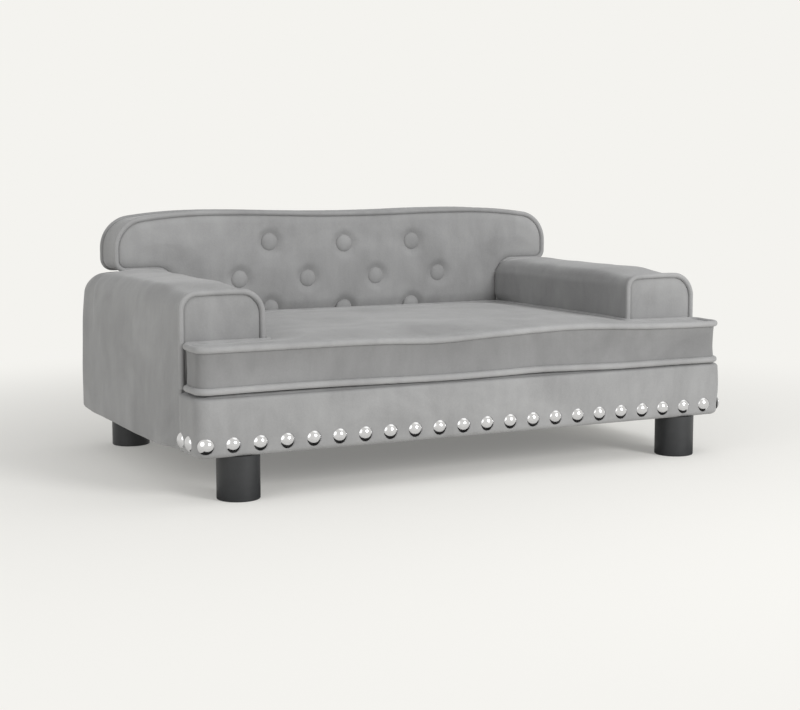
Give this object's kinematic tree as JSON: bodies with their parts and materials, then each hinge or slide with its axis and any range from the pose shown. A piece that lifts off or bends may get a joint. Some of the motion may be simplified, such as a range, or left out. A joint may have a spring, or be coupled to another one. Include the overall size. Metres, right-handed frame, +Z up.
{
  "type": "dog sofa bed",
  "caption": "Low pet sofa with a loose T-shaped cushion, two crowned arms, a buttoned back with ears over the arms, piped seams, a nailed front rail and short round legs.",
  "frame": {"origin": "on the floor, under the middle of the overall box", "axes": "+X across the sofa, to the right as seen from the front, +Y to the rear, +Z up"},
  "size_m": [0.714, 0.4477, 0.3073],
  "materials": {
    "velvet": "short-pile velvet, grey",
    "velvet_piping": "the same velvet wrapped round a cord",
    "foam": "open-cell upholstery foam",
    "frame_wood": "plywood, unfinished",
    "leg_plastic": "dark moulded plastic, satin",
    "hardware_steel": "zinc plated",
    "nail_chrome": "polished",
    "lining_cloth": "spunbonded lining, black",
    "twine_cotton": "waxed cotton",
    "wadding_fibre": "polyester fibre",
    "zip_tape": "woven tape with a plastic coil",
    "zip_metal": "cast and plated"
  },
  "bodies": {
    "sofa": {"leg_front_left": "leg_plastic", "leg_front_right": "leg_plastic", "leg_rear_left": "leg_plastic", "leg_rear_right": "leg_plastic", "leg_studs": "hardware_steel", "leg_inserts": "hardware_steel", "rail_cover": "velvet", "rail_foam": "foam", "rail_front_board": "frame_wood", "rail_bottom_board": "frame_wood", "rail_right_end_board": "frame_wood", "rail_left_end_board": "frame_wood", "rail_nails": "nail_chrome", "seat_deck_board": "frame_wood", "seat_right_rail": "frame_wood", "seat_left_rail": "frame_wood", "seat_front_rail": "frame_wood", "seat_rear_rail": "frame_wood", "seat_centre_rail": "frame_wood", "seat_deck_cloth": "lining_cloth", "dust_cover": "lining_cloth", "arm_right_cover": "velvet", "arm_right_foam": "foam", "arm_right_piping": "velvet_piping", "arm_right_bottom_board": "frame_wood", "arm_right_top_board": "frame_wood", "arm_right_outer_board": "frame_wood", "arm_right_inner_board": "frame_wood", "arm_right_front_board": "frame_wood", "arm_right_rear_board": "frame_wood", "arm_left_cover": "velvet", "arm_left_foam": "foam", "arm_left_piping": "velvet_piping", "arm_left_bottom_board": "frame_wood", "arm_left_top_board": "frame_wood", "arm_left_outer_board": "frame_wood", "arm_left_inner_board": "frame_wood", "arm_left_front_board": "frame_wood", "arm_left_rear_board": "frame_wood", "arm_bolts": "hardware_steel", "arm_bolt_nuts": "hardware_steel", "back_front_cover": "velvet", "back_border": "velvet", "back_rear_cover": "velvet", "back_front_piping": "velvet_piping", "back_rear_piping": "velvet_piping", "back_panel": "frame_wood", "back_lower_rail": "frame_wood", "back_right_post": "frame_wood", "back_left_post": "frame_wood", "back_foam": "foam", "back_wadding": "wadding_fibre", "back_buttons": "velvet", "back_twines": "twine_cotton"},
    "cushion": {"cushion_cover": "velvet", "cushion_foam": "foam", "cushion_low_piping": "velvet_piping", "cushion_top_piping": "velvet_piping", "cushion_zip": "zip_tape"},
    "zip_slider": {"cushion_zip_slider": "zip_metal"}
  },
  "joints": [
    {"name": "cushion_lift", "type": "slide", "parent": "sofa", "child": "cushion", "axis": [0, 0, 1], "range_m": [0, 0.2]},
    {"name": "zip_slide", "type": "slide", "parent": "cushion", "child": "zip_slider", "axis": [1, 0, 0], "range_m": [0, 0.39]}
  ]
}
